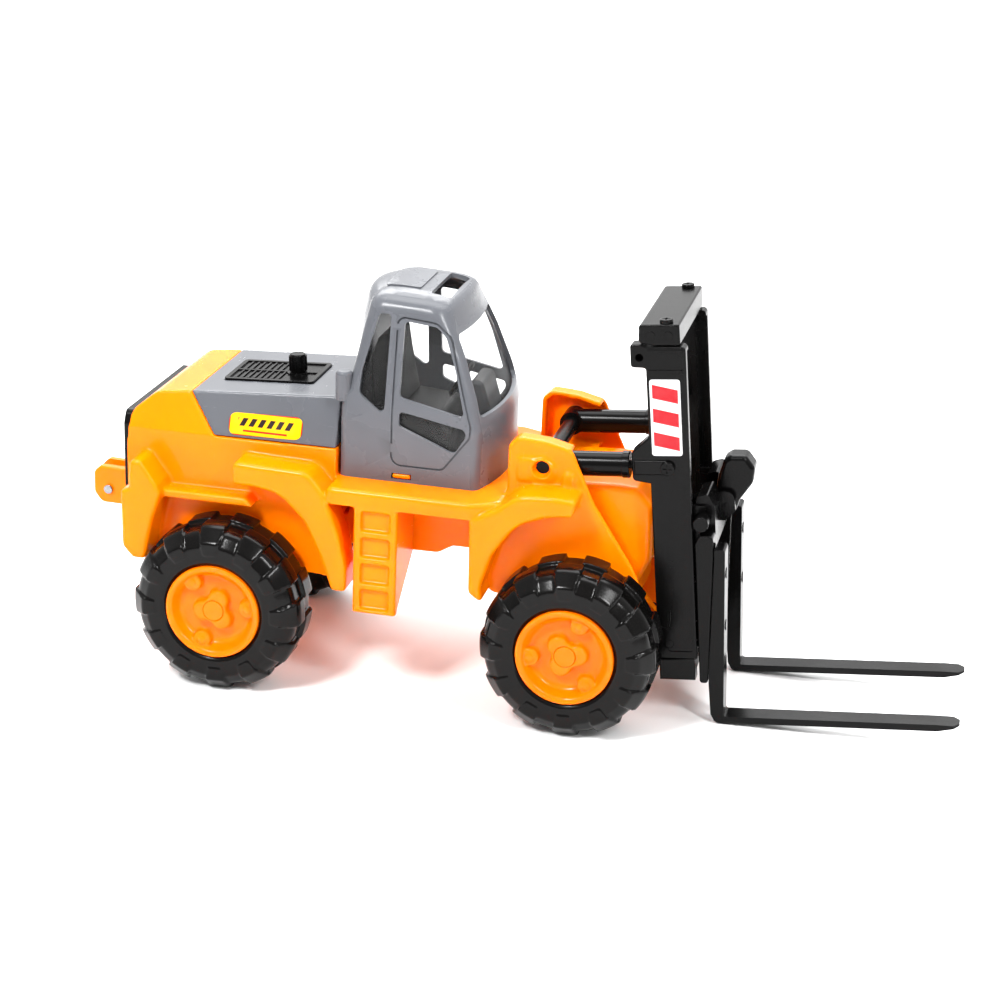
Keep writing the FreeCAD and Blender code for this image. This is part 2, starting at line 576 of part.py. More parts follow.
def hub():
    """Dished wheel centre with three bumps and a three-lobed boss, outer side towards -Y."""
    w = (TYRE_Y[1] - TYRE_Y[0]) / 2
    dish = revolve_y([(-w + 0.4, RIM_R - 0.05), (-w - 0.0, RIM_R - 1.6, 0.6), (-w + 1.2, RIM_R - 4, 1), (-w + 9, 24, 5),
                      (-w + 9.5, 0), (-w + 13, 0), (-w + 13, 22, 3), (-w + 5, RIM_R - 3, 2), (w - 3, RIM_R - 3),
                      (w - 3, RIM_R - 0.05)])
    bumps = []
    lobes = []
    for i in range(3):
        a = math.radians(69 + 120 * i)
        x, z = 23.2 * math.cos(a), 23.2 * math.sin(a)
        bumps.append(rod_y(x, z, 6, -w + 3.6, -w + 10))
        bumps.append(rod_y(x, z, 3, -w + 2.4, -w + 4))
        b = a + math.pi / 3
        lobes.append(rod_y(7.6 * math.cos(b), 7.6 * math.sin(b), 7.0, -w + 3.2, -w + 10))
    bumps = [soften(s, 1.4, lambda e: e.BoundBox.YMax < -w + 3.7) for s in bumps]
    lobes = soften(fuse(lobes + [rod_y(0, 0, 9, -w + 3.2, -w + 10)]), 2.0, lambda e: e.BoundBox.YMax < -w + 3.3)
    boss = rod_y(0, 0, 8, -w + 10, w - 2)
    solid = fuse([dish, lobes, boss] + bumps)
    return cut(solid, [rod_y(0, 0, AXLE_R + 0.08, -w - 2, w + 2), rod_y(0, 0, 7.0, -w, -w + 9)])


def axle_cap():
    w = (TYRE_Y[1] - TYRE_Y[0]) / 2
    disc = soften(rod_y(0, 0, 6.8, -w + 3.0, -w + 5.2), 0.6, lambda e: e.BoundBox.YMax < -w + 3.1)
    return disc.fuse(rod_y(0, 0, 7.0, -w + 4.4, -w + 5.2)).removeSplitter()


def place_wheel(shape, where):
    """Wheel axes to the car; the left wheels are the right ones turned half round the vertical."""
    x, side = WHEELS[where]
    s = shape.copy()
    if side > 0:
        s.rotate(V(0, 0, 0), V(0, 0, 1), 180)
        s.rotate(V(0, 0, 0), V(0, 1, 0), 34)
    elif x < 0:
        s.rotate(V(0, 0, 0), V(0, 1, 0), 60)
    s.translate(V(x, side * (TYRE_Y[0] + TYRE_Y[1]) / 2, TYRE_R))
    return s


def axle(x):
    end = TYRE_Y[1] - 7.5
    return soften(rod_y(x, TYRE_R, AXLE_R, -end, end), 0.6, lambda e: True)


def axle_clips():
    """Push-on spring washers that keep the wheels on their axles."""
    out = []
    for x, side in WHEELS.values():
        y = side * 97.15
        ring = rod_y(x, TYRE_R, 5.6, min(y, y + side * 0.8), max(y, y + side * 0.8))
        out.append(cut(ring, [rod_y(x, TYRE_R, AXLE_R, -120, 120)]))
    return Part.makeCompound(out)


def frame_screws():
    """Self-tapping screws under the tub that hold it to the body."""
    out = []
    for x, z in SCREW_SPOTS:
        for y in (-22, 22):
            head = rod_z(x, y, 3.6, z - 2.2, z)
            slot = box(x - 2.4, x + 2.4, y - 0.5, y + 0.5, z - 3, z - 1.6)
            cross = box(x - 0.5, x + 0.5, y - 2.4, y + 2.4, z - 3, z - 1.6)
            out.append(cut(head, [slot, cross]).fuse(rod_z(x, y, 1.5, z, z + 9)))
    return Part.makeCompound(out)


# ---------------------------------------------------------------- mast (upright axes: u forward, w up)
def mast_side():
    """Right side frame: channel for the carriage runners in front, hollow for the tilt rod behind."""
    u0, u1 = POST_U
    w0, w1 = POST_W
    y0, y1 = -MAST_Y, -MAST_Y + 10
    face = [(u0, w0), (u0, 110), (-19, 112, 3), (-19, 131, 3), (u0, 141, 3), (u0, 186, 2), (-17, 186.5, 2),
            (-17, 201.5, 2), (-10, 201.5, 2), (-6, w1), (u1, w1, 3), (u1, w0)]
    solid = soften(prism_y(face, y0, y1), 1.2, on_plane_y(y0))
    channel = box(10.2, 15.6, y0 + WALL, y1 + 1, w0 + 4, w1 - 4)
    window = box(15, 20, y0 + 5.4, y1 + 1, w0 + 4, w1 - 4)
    pocket = box(-25, 8.4, y0 + 1.6, y1 - 1.6, 106, 136)
    lighten = [box(-4.5, 7, y0 + WALL, y1 + 1, 2, 98), box(-4.5, 7, y0 + WALL, y1 + 1, 142, 180)]
    hole = rod_y(-11.3, 193, 2.6, -60, y1 - 1.6)
    housing = soften(box(-17.5, 3.5, y0 - 1.2, y0 + 1, 116.2, 126), 1.1, on_plane_y(y0 - 1.2))
    ribs = [box(u0 + 1.5, u1 - 2, y0 - 0.7, y0 + 1, w, w + 2) for w in (183, 196)]
    recess = prism_y([(4, 40, 12), (8, 47, 2), (15, 47, 2), (15.5, -5, 2), (-1, -5, 2)], y0 - 1, y0 + 0.8)
    pin = rod_y(*ROD_PIN, 2.05, -60, 0)
    screws = rod_z(6, -MAST_Y + 5, 1.2, w1 - 14, w1 + 1)
    bore = rod_y(0, 0, 3.05, -60, 0)
    solid = fuse([solid, housing] + ribs)
    solid = cut(solid, [channel, window, pocket, hole, recess, pin, screws] + lighten)
    foot = soften(box(-7, 16.3, y0, y1, -25, w0), 1.2, on_plane_y(y0))
    return cut(fuse([solid, foot]), [bore])


def mast_crossbeam():
    half = MAST_Y
    side = [(-11.5, 202.2, 3), (-11, 214.2, 2.5), (14.6, 214.2, 1.5), (14.8, 200.6, 1.5), (-2, 200.6, 2)]
    beam = soften(prism_y(side, -half, half), 1.4, lambda e: e.BoundBox.YLength < 1e-4)
    cavity = box(-8, 11.5, -half + 14, half - 14, 199, 210)
    studs = [rod_y(x, 207, 2.8, -half - 0.6, half + 0.6) for x in (-3.5, 7.5)]
    holes = [rod_z(6, s * (half - 5), 1.6, 199, 220) for s in (-1, 1)]
    return cut(fuse([cut(beam, [cavity])] + studs), holes)


def beam_screws():
    out = []
    for s in (-1, 1):
        y = s * (MAST_Y - 5)
        head = soften(rod_z(6, y, 4.2, 214.3, 216.8), 0.9, lambda e: e.BoundBox.ZMin > 216.7)
        cross = [box(3.6, 8.4, y - 0.6, y + 0.6, 215.4, 218), box(5.4, 6.6, y - 2.4, y + 2.4, 215.4, 218)]
        out.append(cut(head, cross).fuse(rod_z(6, y, 1.15, 190, 214.3)))
    return Part.makeCompound([leaned(s) for s in out])


def mast_foot_bar():
    """Cross member at the foot of the mast."""
    bar = box(-6, 15, -MAST_Y + 10.05, MAST_Y - 10.05, -24, -11)
    room = box(-7, 9, -34.6, 34.6, -30, -10)
    return soften(cut(bar, [room]), 1.0, lambda e: e.BoundBox.YLength > 75)


def rack_strip():
    """Notched strip down the middle of the mast that the lift latch drops into."""
    strip = box(3.4, 6.6, -9, 9, -11, 200.5)
    teeth = []
    pitch = 8.0
    for i in range(23):
        w = 6 + i * pitch
        teeth.append(prism_y([(6, w), (9, w + 1.5), (9, w + 3.5), (6, w + 3.5)], -6, 6))
    return fuse([strip] + teeth)


def mast_pin():
    """Long steel pin that the mast tilts on."""
    x, z = PIVOT
    return soften(rod_y(x, z, 3.0, -MAST_Y + 1, MAST_Y - 1), 0.5, lambda e: True)


def rod_bolts():
    """Cross-headed pins through the mast that hold the tilt rods."""
    out = []
    x, z = mast_point(*ROD_PIN)
    face = -MAST_Y - 1.25
    head = soften(rod_y(x, z, 4.6, face - 1.6, face), 0.8, lambda e: e.BoundBox.YMax < face - 1.5)
    cross = [box(x - 2.8, x + 2.8, face - 3, face - 0.7, z - 0.6, z + 0.6),
             box(x - 0.6, x + 0.6, face - 3, face - 0.7, z - 2.8, z + 2.8)]
    pin = cut(head, cross).fuse(rod_y(x, z, 2.0, face, -MAST_Y + 9.8))
    return Part.makeCompound(pair(pin))


def hazard_label():
    return leaned(prism_y([(-5.6, 129, 1.8), (-5.6, 179, 1.8), (13.8, 179, 1.8), (13.8, 129, 1.8)],
                          -MAST_Y - 0.35, -MAST_Y - 0.05))


# ---------------------------------------------------------------- carriage and forks
def carriage_frame():
    """Fork carriage: two uprights, upper and lower cross members and the runners in the mast channels."""
    parts = []
    for_side = []
    upright = [(19, -27, 2), (19, 69, 3), (22, 75, 2), (31, 75, 3), (31, 62, 3), (24.4, -27, 2)]
    for_side.append(soften(prism_y(upright, -MAST_Y + 0.5, -36), 1.0, on_plane_y(-MAST_Y + 0.5)))
    for_side.append(box(10.8, 25, -MAST_Y + 10.6, -36, -5, 92))
    for w in (-5, 70):
        for_side.append(box(10.8, 15.1, -MAST_Y + WALL + 0.5, -MAST_Y + 10.7, w, w + 20))
    peg = soften(rod_y(23.4, 83, 5.0, -MAST_Y - 0.8, -36), 0.7, lambda e: e.BoundBox.YMax < -MAST_Y - 0.7)
    for_side.append(peg)
    for s in for_side:
        parts += pair(s)
    upper = prism_y([(19, 62, 2), (19, 97, 3), (27, 99, 2), (31, 90, 3), (31, 62, 2)], -37, 37)
    lower = prism_y([(19, -24, 2), (19, -6, 2), (24, -6, 2), (24, -24, 2)], -37, 37)
    web = prism_y([(19, -8), (19, 64), (21.6, 64), (21.6, -8)], -7, 7)
    boss = [prism_y([(28, 74, 3), (30, 94, 4), (40, 92, 5), (41, 80, 5), (34, 73, 3)], y, y + 4) for y in (-14, 10)]
    parts += [upper, lower, web] + boss
    solid = fuse(parts)
    lever_room = box(8, 45, -9.6, 9.6, 72, 120)
    bore = rod_y(35, 84, 1.65, -20, 20)
    return leaned(cut(solid, [lever_room, bore]))


def fork():
    """Right fork: tapered shank and blade in one L, hooked over the carriage at the top."""
    y0, y1 = -FORK_Y[1], -FORK_Y[0]
    u, w = HEEL
    tip = fork_tip()
    side = [(u - 2, w + 6), (u + 1.0, w, 3.5), (tip - 14, w, 8), (tip, w + 2.6, 1), (tip, w + FORK_T - 0.6, 1),
            (tip - 14, w + FORK_T, 8), (u + 6.5, w + FORK_T, 1.5), (38.6, 66, 2), (31.4, 66, 1.5), (31.4, 60), (24.9, -26)]
    blade = soften(prism_y(side, y0, y1), 0.8, lambda e: e.BoundBox.YLength < 1e-4)
    corner = 5.0
    trim = [prism_z([(tip - corner, y0 - 1), (tip + 1, y0 - 1), (tip + 1, y0 + corner)], w - 5, w + 20),
            prism_z([(tip - corner, y1 + 1), (tip + 1, y1 + 1), (tip + 1, y1 - corner)], w - 5, w + 20)]
    y = -(FORK_Y[0] + FORK_Y[1]) / 2
    spots = [Part.makeCylinder(3.8, 10, V(shank_front(w) - 1.2, y, w), V(1, 0, 0)) for w in FORK_SCREW_W]
    return leaned(cut(blade, trim + spots))


def shank_front(w):
    """Front face of the fork's shank at a height in mast axes."""
    return 33.9 + (w + 50) * (38.6 - 33.9) / (66 + 50)


def fork_tip():
    """Blade tip in mast axes, so that the tip's lower corner ends at HALF_LENGTH."""
    a = math.radians(TILT)
    w_low = HEEL[1] + 2.6
    return (HALF_LENGTH - PIVOT[0] + w_low * math.sin(a)) / math.cos(a)


def fork_screws():
    """Cross-headed screws that hold the forks on the carriage."""
    out = []
    for s in (-1, 1):
        for w in FORK_SCREW_W:
            y = s * (FORK_Y[0] + FORK_Y[1]) / 2
            u = shank_front(w) - 1.2
            head = Part.makeCylinder(3.4, 1.8, V(u, y, w), V(1, 0, 0))
            out.append(leaned(soften(head, 0.6, lambda e, u=u: e.BoundBox.XMin > u + 1.7)))
    return Part.makeCompound(out)


def lift_lever():
    """Rounded paddle on top of the carriage that frees the latch and lifts the forks."""
    side = [(31, 77, 3), (27, 88, 6), (29.5, 102, 12), (33.5, 113, 6), (38, 115.5, 4), (48, 115.5, 5), (53.5, 107, 5),
            (52, 97, 6), (43, 85, 5), (40, 77, 4)]
    paddle = soften(prism_y(side, -9, 9), 3.2, lambda e: e.BoundBox.YLength < 1e-4)
    pawl = prism_y([(9.4, 80.5, 0.5), (9.4, 84.5, 0.5), (33, 90), (33, 80.5)], -5, 5)
    return leaned(cut(fuse([paddle, pawl]), [rod_y(35, 84, 1.6, -20, 20)]))


def lever_pin():
    return leaned(rod_y(35, 84, 1.55, -14.4, 14.4))


# ---------------------------------------------------------------- tilt arms
def arm_axis():
    x, z = mast_point(*ROD_PIN)
    dx, dz = x - ARM_PIVOT[0], z - ARM_PIVOT[1]
    length = math.hypot(dx, dz)
    return length, math.degrees(math.atan2(dz, dx))


def along_arm(shape):
    """From arm axes (origin on the arm's pivot, along +X) to its rest slope."""
    s = shape.copy()
    s.translate(V(ARM_PIVOT[0], 0, ARM_PIVOT[1]))
    s.rotate(V(ARM_PIVOT[0], 0, ARM_PIVOT[1]), V(0, 1, 0), -arm_axis()[1])
    return s


def arm_barrel():
    """Right tilt-arm barrel with its collar, cross boss and journal."""
    tube = Part.makeCylinder(ARM_R, BARREL - 5, V(0, -ARM_Y, 0), V(1, 0, 0))
    collar = Part.makeCylinder(ARM_R + 0.7, 5, V(BARREL - 5, -ARM_Y, 0), V(1, 0, 0))
    collar = soften(collar, 0.8, lambda e: e.BoundBox.YLength > 10)
    boss = rod_y(0, 0, ARM_R, -ARM_Y - ARM_R, -ARM_Y + ARM_R)
    journal = rod_y(0, 0, 4.3, -EAR_Y + 3.2, -ARM_Y)
    bore = Part.makeCylinder(ROD_R + 0.08, 60, V(12, -ARM_Y, 0), V(1, 0, 0))
    return cut(fuse([tube, collar, boss, journal]), [bore])


def cross_tube():
    return along_arm(rod_y(0, 0, 5.3, -ARM_Y + ARM_R, ARM_Y - ARM_R))


def arm_rod():
    length = arm_axis()[0]
    shaft = Part.makeCylinder(ROD_R, length - 20 - 3, V(20, -ARM_Y, 0), V(1, 0, 0))
    eye = rod_y(length, 0, 3.9, -ARM_Y - 2.9, -ARM_Y + 2.9)
    return cut(fuse([shaft, eye]), [rod_y(length, 0, 2.45, -60, 0)])


# ---------------------------------------------------------------- write every node
def main():
    save("body_shell", body_shell())
    save("chassis_frame", chassis_frame())
    save("rear_hitch", rear_hitch())
    save("hitch_pin", hitch_pin())
    save("rear_grille", rear_grille())
    save("engine_hood", engine_hood())
    save("hood_grille", hood_grille())
    save("hood_knob", hood_knob())
    save("hood_label_right", hood_label())
    save("hood_label_left", flip(hood_label()))
    save("cab_shell", cab_shell())
    save("cab_glazing", cab_glazing())
    save("seat", seat())
    save("steering_console", steering_console())
    save("steering_wheel", steering_wheel())
    save("frame_screws", frame_screws())
    save("rear_axle", axle(REAR_X))
    save("front_axle", axle(FRONT_X))
    save("axle_clips", axle_clips())
    parts = {"tyre": tyre(), "hub": hub(), "axle_cap": axle_cap()}
    for where in WHEELS:
        for name, shape in parts.items():
            save(f"{name}_{where}", place_wheel(shape, where))
    save("mast_side_right", leaned(mast_side()))
    save("mast_side_left", flip(leaned(mast_side())))
    save("mast_crossbeam", leaned(mast_crossbeam()))
    save("beam_screws", beam_screws())
    save("mast_foot_bar", leaned(mast_foot_bar()))
    save("rack_strip", leaned(rack_strip()))
    save("mast_pin", mast_pin())
    save("rod_bolts", rod_bolts())
    save("hazard_label_right", hazard_label())
    save("hazard_label_left", flip(hazard_label()))
    save("carriage_frame", carriage_frame())
    save("fork_right", fork())
    save("fork_left", flip(fork()))
    save("fork_screws", fork_screws())
    save("lift_lever", lift_lever())
    save("lever_pin", lever_pin())
    save("cross_tube", cross_tube())
    save("arm_barrel_right", along_arm(arm_barrel()))
    save("arm_barrel_left", flip(along_arm(arm_barrel())))
    save("arm_rod_right", along_arm(arm_rod()))
    save("arm_rod_left", flip(along_arm(arm_rod())))


main()
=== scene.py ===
import json
import math

import bmesh
import bpy
from mathutils import Matrix, Vector


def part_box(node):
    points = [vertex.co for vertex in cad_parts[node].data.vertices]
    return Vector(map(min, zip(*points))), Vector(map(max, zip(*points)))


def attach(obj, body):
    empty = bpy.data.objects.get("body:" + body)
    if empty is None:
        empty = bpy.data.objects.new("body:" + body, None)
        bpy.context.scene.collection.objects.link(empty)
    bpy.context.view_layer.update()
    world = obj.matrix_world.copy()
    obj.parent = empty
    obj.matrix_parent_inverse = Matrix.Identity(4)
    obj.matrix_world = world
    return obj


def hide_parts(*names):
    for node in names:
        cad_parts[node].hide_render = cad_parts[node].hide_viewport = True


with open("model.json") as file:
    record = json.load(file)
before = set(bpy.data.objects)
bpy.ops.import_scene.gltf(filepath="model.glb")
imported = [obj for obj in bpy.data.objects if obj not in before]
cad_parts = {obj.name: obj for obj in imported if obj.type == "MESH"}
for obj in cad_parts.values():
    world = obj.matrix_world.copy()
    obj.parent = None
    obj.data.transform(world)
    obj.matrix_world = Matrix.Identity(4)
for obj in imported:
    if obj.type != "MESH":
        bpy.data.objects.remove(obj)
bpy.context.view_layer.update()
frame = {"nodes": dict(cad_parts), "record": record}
NODES = sorted(frame["nodes"])
SLOT_OF = {s["node"]: s["material_slot"] for s in frame["record"]["subparts"]}
BODY_OF = {n: b for b, names in frame["record"]["behaviour"]["bodies"].items() for n in names}


# ---------------------------------------------------------------- node helpers
class Nodes:
    """A short way to write a material's node tree."""

    def __init__(self, name):
        self.mat = bpy.data.materials.new(name)
        self.mat.use_nodes = True
        self.tree = self.mat.node_tree
        self.tree.nodes.clear()
        self.out = self.add("ShaderNodeOutputMaterial")
        self.bsdf = self.add("ShaderNodeBsdfPrincipled")
        self.link(self.bsdf.outputs[0], self.out.inputs[0])
        self.place = self.add("ShaderNodeTexCoord").outputs["Object"]

    def add(self, kind, **settings):
        node = self.tree.nodes.new(kind)
        for key, value in settings.items():
            setattr(node, key, value)
        return node

    def link(self, source, target):
        self.tree.links.new(source, target)

    def put(self, socket, value):
        if hasattr(value, "is_output"):
            self.link(value, socket)
        else:
            socket.default_value = value

    def noise(self, scale, detail=3.0, rough=0.5, stretch=None, offset=(0, 0, 0)):
        place = self.place
        if stretch or any(offset):
            mapping = self.add("ShaderNodeMapping")
            mapping.inputs["Scale"].default_value = stretch or (1, 1, 1)
            mapping.inputs["Location"].default_value = offset
            self.link(place, mapping.inputs[0])
            place = mapping.outputs[0]
        node = self.add("ShaderNodeTexNoise")
        node.inputs["Scale"].default_value = scale
        node.inputs["Detail"].default_value = detail
        node.inputs["Roughness"].default_value = rough
        self.link(place, node.inputs["Vector"])
        return node.outputs["Fac"]

    def ramp(self, value, low, high, out_low=0.0, out_high=1.0):
        node = self.add("ShaderNodeMapRange")
        settings = {"Value": value, "From Min": low, "From Max": high, "To Min": out_low, "To Max": out_high}
        for key, setting in settings.items():
            self.put(node.inputs[key], setting)
        return node.outputs[0]

    def math(self, operation, a, b=0.0):
        node = self.add("ShaderNodeMath", operation=operation)
        self.put(node.inputs[0], a)
        self.put(node.inputs[1], b)
        return node.outputs[0]

    def mix(self, factor, a, b):
        node = self.add("ShaderNodeMix", data_type="RGBA")
        self.put(node.inputs[0], factor)
        self.put(node.inputs[6], a)
        self.put(node.inputs[7], b)
        return node.outputs[2]

    def edges(self):
        """1 on outside edges, 0 on flat faces and in corners, from the mesh's own curvature."""
        pointed = self.add("ShaderNodeNewGeometry").outputs["Pointiness"]
        return self.ramp(pointed, 0.511, 0.566)

    def corners(self):
        """1 in inside corners, the mask where materials paint shade into their colour."""
        return self.ramp(self.add("ShaderNodeNewGeometry").outputs["Pointiness"], 0.49, 0.44)

    def scratches(self):
        """Thin, faint rub marks in two directions."""
        fine = self.noise(60, 4, 0.6, stretch=(1, 1, 9))
        cross = self.noise(55, 4, 0.6, stretch=(9, 1, 1), offset=(3, 1, 2))
        return self.math("MAXIMUM", self.ramp(fine, 0.66, 0.72), self.ramp(cross, 0.67, 0.73))

    def bump(self, *layers):
        """Layers are (height, distance in metres, strength)."""
        normal = None
        for height, distance, strength in layers:
            node = self.add("ShaderNodeBump")
            node.inputs["Strength"].default_value = strength
            node.inputs["Distance"].default_value = distance
            self.link(height, node.inputs["Height"])
            if normal:
                self.link(normal, node.inputs["Normal"])
            normal = node.outputs[0]
        self.link(normal, self.bsdf.inputs["Normal"])


def rgb(r, g, b):
    """A display colour, 0 to 255, as the linear colour that shaders take."""
    def linear(c):
        c /= 255
        return c / 12.92 if c <= 0.04045 else ((c + 0.055) / 1.055) ** 2.4
    return (linear(r), linear(g), linear(b), 1.0)


def moulded(name, colour, deep, gloss, scatter=0.0, grain=0.4, corner_shade=0.25, shine=0.5, wear=0.3, marks=0.1,
            shade_colour=None):
    """Moulded plastic: slow colour variation, worn pale edges, painted shade in inside corners, rub marks
    and a fine skin.
    """
    m = Nodes(name)
    clouds = m.noise(14, 3)
    base = m.mix(m.ramp(clouds, 0.35, 0.68), colour, deep)
    speck = m.noise(900, 2, 0.7)
    base = m.mix(m.ramp(speck, 0.68, 0.85, 0, 0.25), base, tuple(c * 0.8 for c in deep[:3]) + (1,))
    lighter = tuple(min(1, c * 1.3 + 0.004) for c in colour[:3]) + (1,)
    base = m.mix(m.math("MULTIPLY", m.edges(), wear), base, lighter)
    # painted shade: inside corners darkened toward a deeper tone or the given shade colour
    shade_tone = shade_colour or tuple(c * 0.5 for c in deep[:3]) + (1,)
    base = m.mix(m.math("MULTIPLY", m.corners(), corner_shade), base, shade_tone)
    m.link(base, m.bsdf.inputs["Base Color"])
    rough = m.ramp(m.noise(30, 4, 0.6, offset=(5, 2, 1)), 0.3, 0.7, gloss * 0.85, gloss * 1.2)
    rough = m.math("ADD", rough, m.math("MULTIPLY", m.scratches(), marks))
    rough = m.math("ADD", rough, m.math("MULTIPLY", m.edges(), 0.05))
    m.link(rough, m.bsdf.inputs["Roughness"])
    m.bsdf.inputs["IOR"].default_value = 1.49
    m.bsdf.inputs["Specular IOR Level"].default_value = shine
    m.bsdf.inputs["Subsurface Weight"].default_value = scatter
    m.bsdf.inputs["Subsurface Radius"].default_value = (1.0, 0.25, 0.05)
    m.bsdf.inputs["Subsurface Scale"].default_value = 0.004
    m.bump((m.noise(22, 2, 0.4), 0.0010, 0.08), (m.noise(1500, 2, 0.5), 0.00005, grain))
    return m.mat


def clear_plastic():
    """Thin clear plastic that has greyed a little: mostly see-through, with rub marks and a ripple."""
    m = Nodes("clear_plastic")
    veil = m.mix(m.ramp(m.noise(20, 2), 0.3, 0.7), (0.10, 0.10, 0.10, 1), (0.07, 0.07, 0.07, 1))
    m.link(veil, m.bsdf.inputs["Base Color"])
    rubbed = m.math("MULTIPLY", m.scratches(), 0.03)
    cover = m.math("ADD", m.ramp(m.noise(12, 3), 0.3, 0.7, 0.06, 0.10), rubbed)
    m.link(cover, m.bsdf.inputs["Alpha"])
    m.link(m.ramp(m.noise(40, 3), 0.3, 0.7, 0.04, 0.08), m.bsdf.inputs["Roughness"])
    m.bsdf.inputs["IOR"].default_value = 1.59
    m.bsdf.inputs["Specular IOR Level"].default_value = 1.0
    m.bump((m.noise(9, 2, 0.4), 0.0003, 0.04))
    return m.mat


def plated_steel():
    """Zinc-plated wire: fine drawing marks along it and dull patches."""
    m = Nodes("plated_steel")
    drawn = m.noise(300, 4, 0.6, stretch=(1, 0.05, 1))
    base = m.mix(m.ramp(drawn, 0.35, 0.65), (0.30, 0.30, 0.31, 1), (0.20, 0.20, 0.21, 1))
    # painted shade: a darker, browner colour in inside corners
    base = m.mix(m.math("MULTIPLY", m.corners(), 0.5), base, rgb(70, 66, 60))
    m.link(base, m.bsdf.inputs["Base Color"])
    m.bsdf.inputs["Metallic"].default_value = 1.0
    m.link(m.ramp(m.noise(70, 4, 0.6), 0.3, 0.7, 0.2, 0.38), m.bsdf.inputs["Roughness"])
    m.bump((drawn, 0.00005, 0.5), (m.noise(60, 3), 0.0003, 0.1))
    return m.mat


class Print:
    """Masks for a sticker's print, drawn on its own axes: across and along, in metres from its middle."""

    def __init__(self, m, middle, tilt):
        self.m = m
        parts = m.add("ShaderNodeSeparateXYZ")
        m.link(m.place, parts.inputs[0])
        x = m.math("SUBTRACT", parts.outputs[0], middle[0])
        z = m.math("SUBTRACT", parts.outputs[2], middle[1])
        c, s = math.cos(tilt), math.sin(tilt)
        self.across = m.math("ADD", m.math("MULTIPLY", x, c), m.math("MULTIPLY", z, s))
        self.along = m.math("SUBTRACT", m.math("MULTIPLY", z, c), m.math("MULTIPLY", x, s))

    def near(self, value, centre, half, soft=0.00012):
        """1 where value lies within half of centre."""
        off = self.m.math("ABSOLUTE", self.m.math("SUBTRACT", value, centre))
        return self.m.ramp(off, half + soft, half - soft)

    def both(self, a, b):
        return self.m.math("MULTIPLY", a, b)

    def either(self, a, b):
        return self.m.math("MAXIMUM", a, b)


def film(m, base, gloss=0.22):
    """Printed vinyl: the print, faint fading and scuffs, and a fine grain."""
    faded = m.mix(m.ramp(m.noise(60, 3), 0.45, 0.75, 0, 0.03), base, (0.6, 0.58, 0.54, 1))
    faded = m.mix(m.math("MULTIPLY", m.scratches(), 0.05), faded, (0.5, 0.48, 0.45, 1))
    m.link(faded, m.bsdf.inputs["Base Color"])
    m.link(m.ramp(m.noise(50, 4, 0.6), 0.3, 0.7, gloss * 0.8, gloss * 1.4), m.bsdf.inputs["Roughness"])
    m.bsdf.inputs["Specular IOR Level"].default_value = 0.2
    m.bump((m.noise(120, 3), 0.0001, 0.2), (m.noise(1400, 2), 0.00003, 0.3))
    return m.mat


def hazard_film(box):
    """White film with three slanted red blocks."""
    m = Nodes("hazard_film")
    low, high = box
    middle = ((low[0] + high[0]) / 2, (low[2] + high[2]) / 2)
    draw = Print(m, middle, MAST_LEAN)
    slanted = m.math("ADD", draw.along, m.math("MULTIPLY", draw.across, BLOCK_SLANT))
    blocks = None
    for step in (-1, 0, 1):
        block = draw.near(slanted, step * BLOCK_PITCH, BLOCK_TALL / 2)
        blocks = draw.either(blocks, block) if blocks else block
    blocks = draw.both(blocks, draw.near(draw.across, 0.0, BLOCK_WIDE / 2))
    return film(m, m.mix(blocks, (0.60, 0.60, 0.61, 1), (0.36, 0.006, 0.012, 1)))


def hood_film(box):
    """Yellow film with a red border, a row of plain slanted dark bars and a red rule below them."""
    m = Nodes("hood_film")
    low, high = box
    middle = ((low[0] + high[0]) / 2, (low[2] + high[2]) / 2)
    half_wide, half_tall = (high[0] - low[0]) / 2, (high[2] - low[2]) / 2
    draw = Print(m, middle, 0.0)
    inside = draw.both(draw.near(draw.across, 0.0, half_wide - BORDER),
                       draw.near(draw.along, 0.0, half_tall - BORDER))
    base = m.mix(inside, FILM_RED, (0.80, 0.40, 0.0, 1))
    slanted = m.math("SUBTRACT", draw.across, m.math("MULTIPLY", draw.along, 0.5))
    saw = m.math("ABSOLUTE", m.math("SUBTRACT", m.math("FRACT", m.math("DIVIDE", slanted, BAR_PITCH)), 0.5))
    bars = draw.both(m.ramp(saw, 0.30, 0.27), draw.near(draw.along, 0.0011, BAR_TALL / 2))
    bars = draw.both(bars, draw.near(draw.across, 0.0, half_wide - 0.006))
    base = m.mix(bars, base, rgb(34, 26, 24))
    rule = draw.both(draw.near(draw.along, -0.0042, 0.0006), draw.near(draw.across, 0.0, half_wide - 0.010))
    return film(m, m.mix(rule, base, FILM_RED))


# printed films: their red, the lean of the mast, and in metres the blocks, border and bars
FILM_RED = (0.42, 0.012, 0.006, 1)
MAST_LEAN = math.radians(6.0)
BLOCK_TALL = 0.0090
BLOCK_WIDE = 0.0163
BLOCK_PITCH = 0.0155
BLOCK_SLANT = 0.22
BORDER = 0.0008
BAR_PITCH = 0.0062
BAR_TALL = 0.0050
